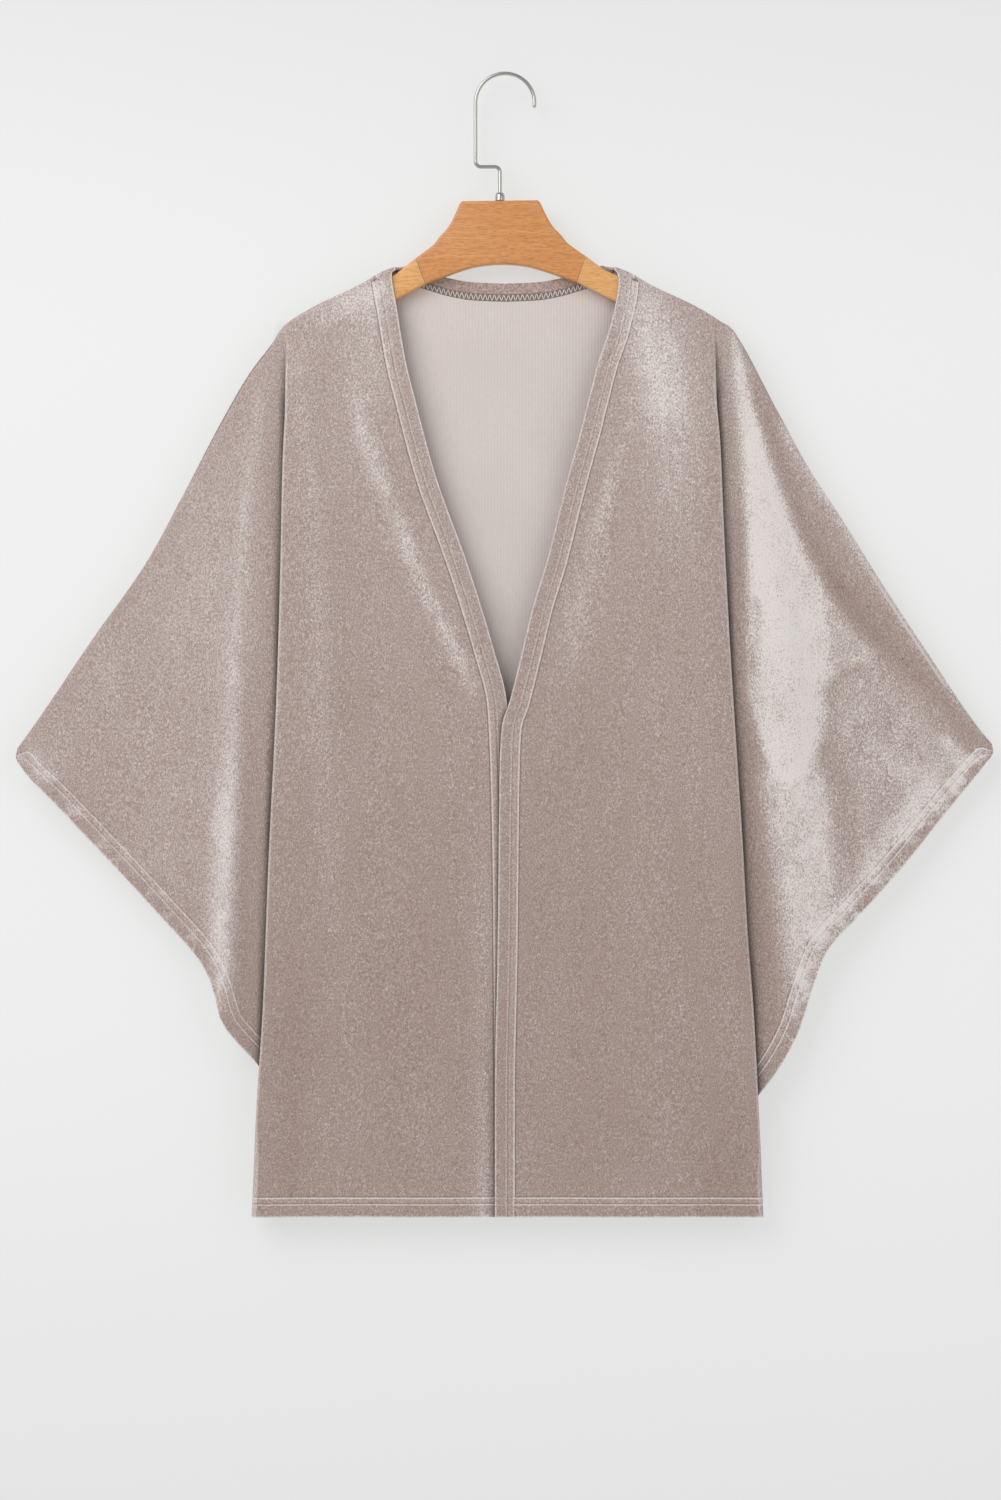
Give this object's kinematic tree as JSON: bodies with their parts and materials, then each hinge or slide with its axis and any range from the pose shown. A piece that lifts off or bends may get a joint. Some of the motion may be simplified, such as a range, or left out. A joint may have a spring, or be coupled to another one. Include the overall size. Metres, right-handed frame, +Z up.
{
  "type": "kimono coat on a hanger",
  "caption": "Open-front kimono coat of soft velvet with wide sleeves cut in one with the body, hung on a flat wooden hanger with a bent wire hook",
  "frame": {"origin": "inside top of the hanger's hook, on the middle plane of the hanger, where a rail carries it", "axes": "+X to the wearer's left, -Y out of the coat's front, +Z up along the hook's stem"},
  "size_m": [0.9267, 0.0348, 1.087],
  "materials": {
    "velvet": "short dusty-rose pile outside, paler smooth knit inside",
    "beech": "satin varnish",
    "beech_arm": "satin varnish",
    "plated_steel": "bright nickel plate"
  },
  "bodies": {
    "root": {"front_left": "velvet", "front_right": "velvet", "back": "velvet", "hanger_centre": "beech", "hanger_arm_left": "beech_arm", "hanger_arm_right": "beech_arm", "hook": "plated_steel", "hook_collar": "plated_steel"}
  },
  "joints": []
}
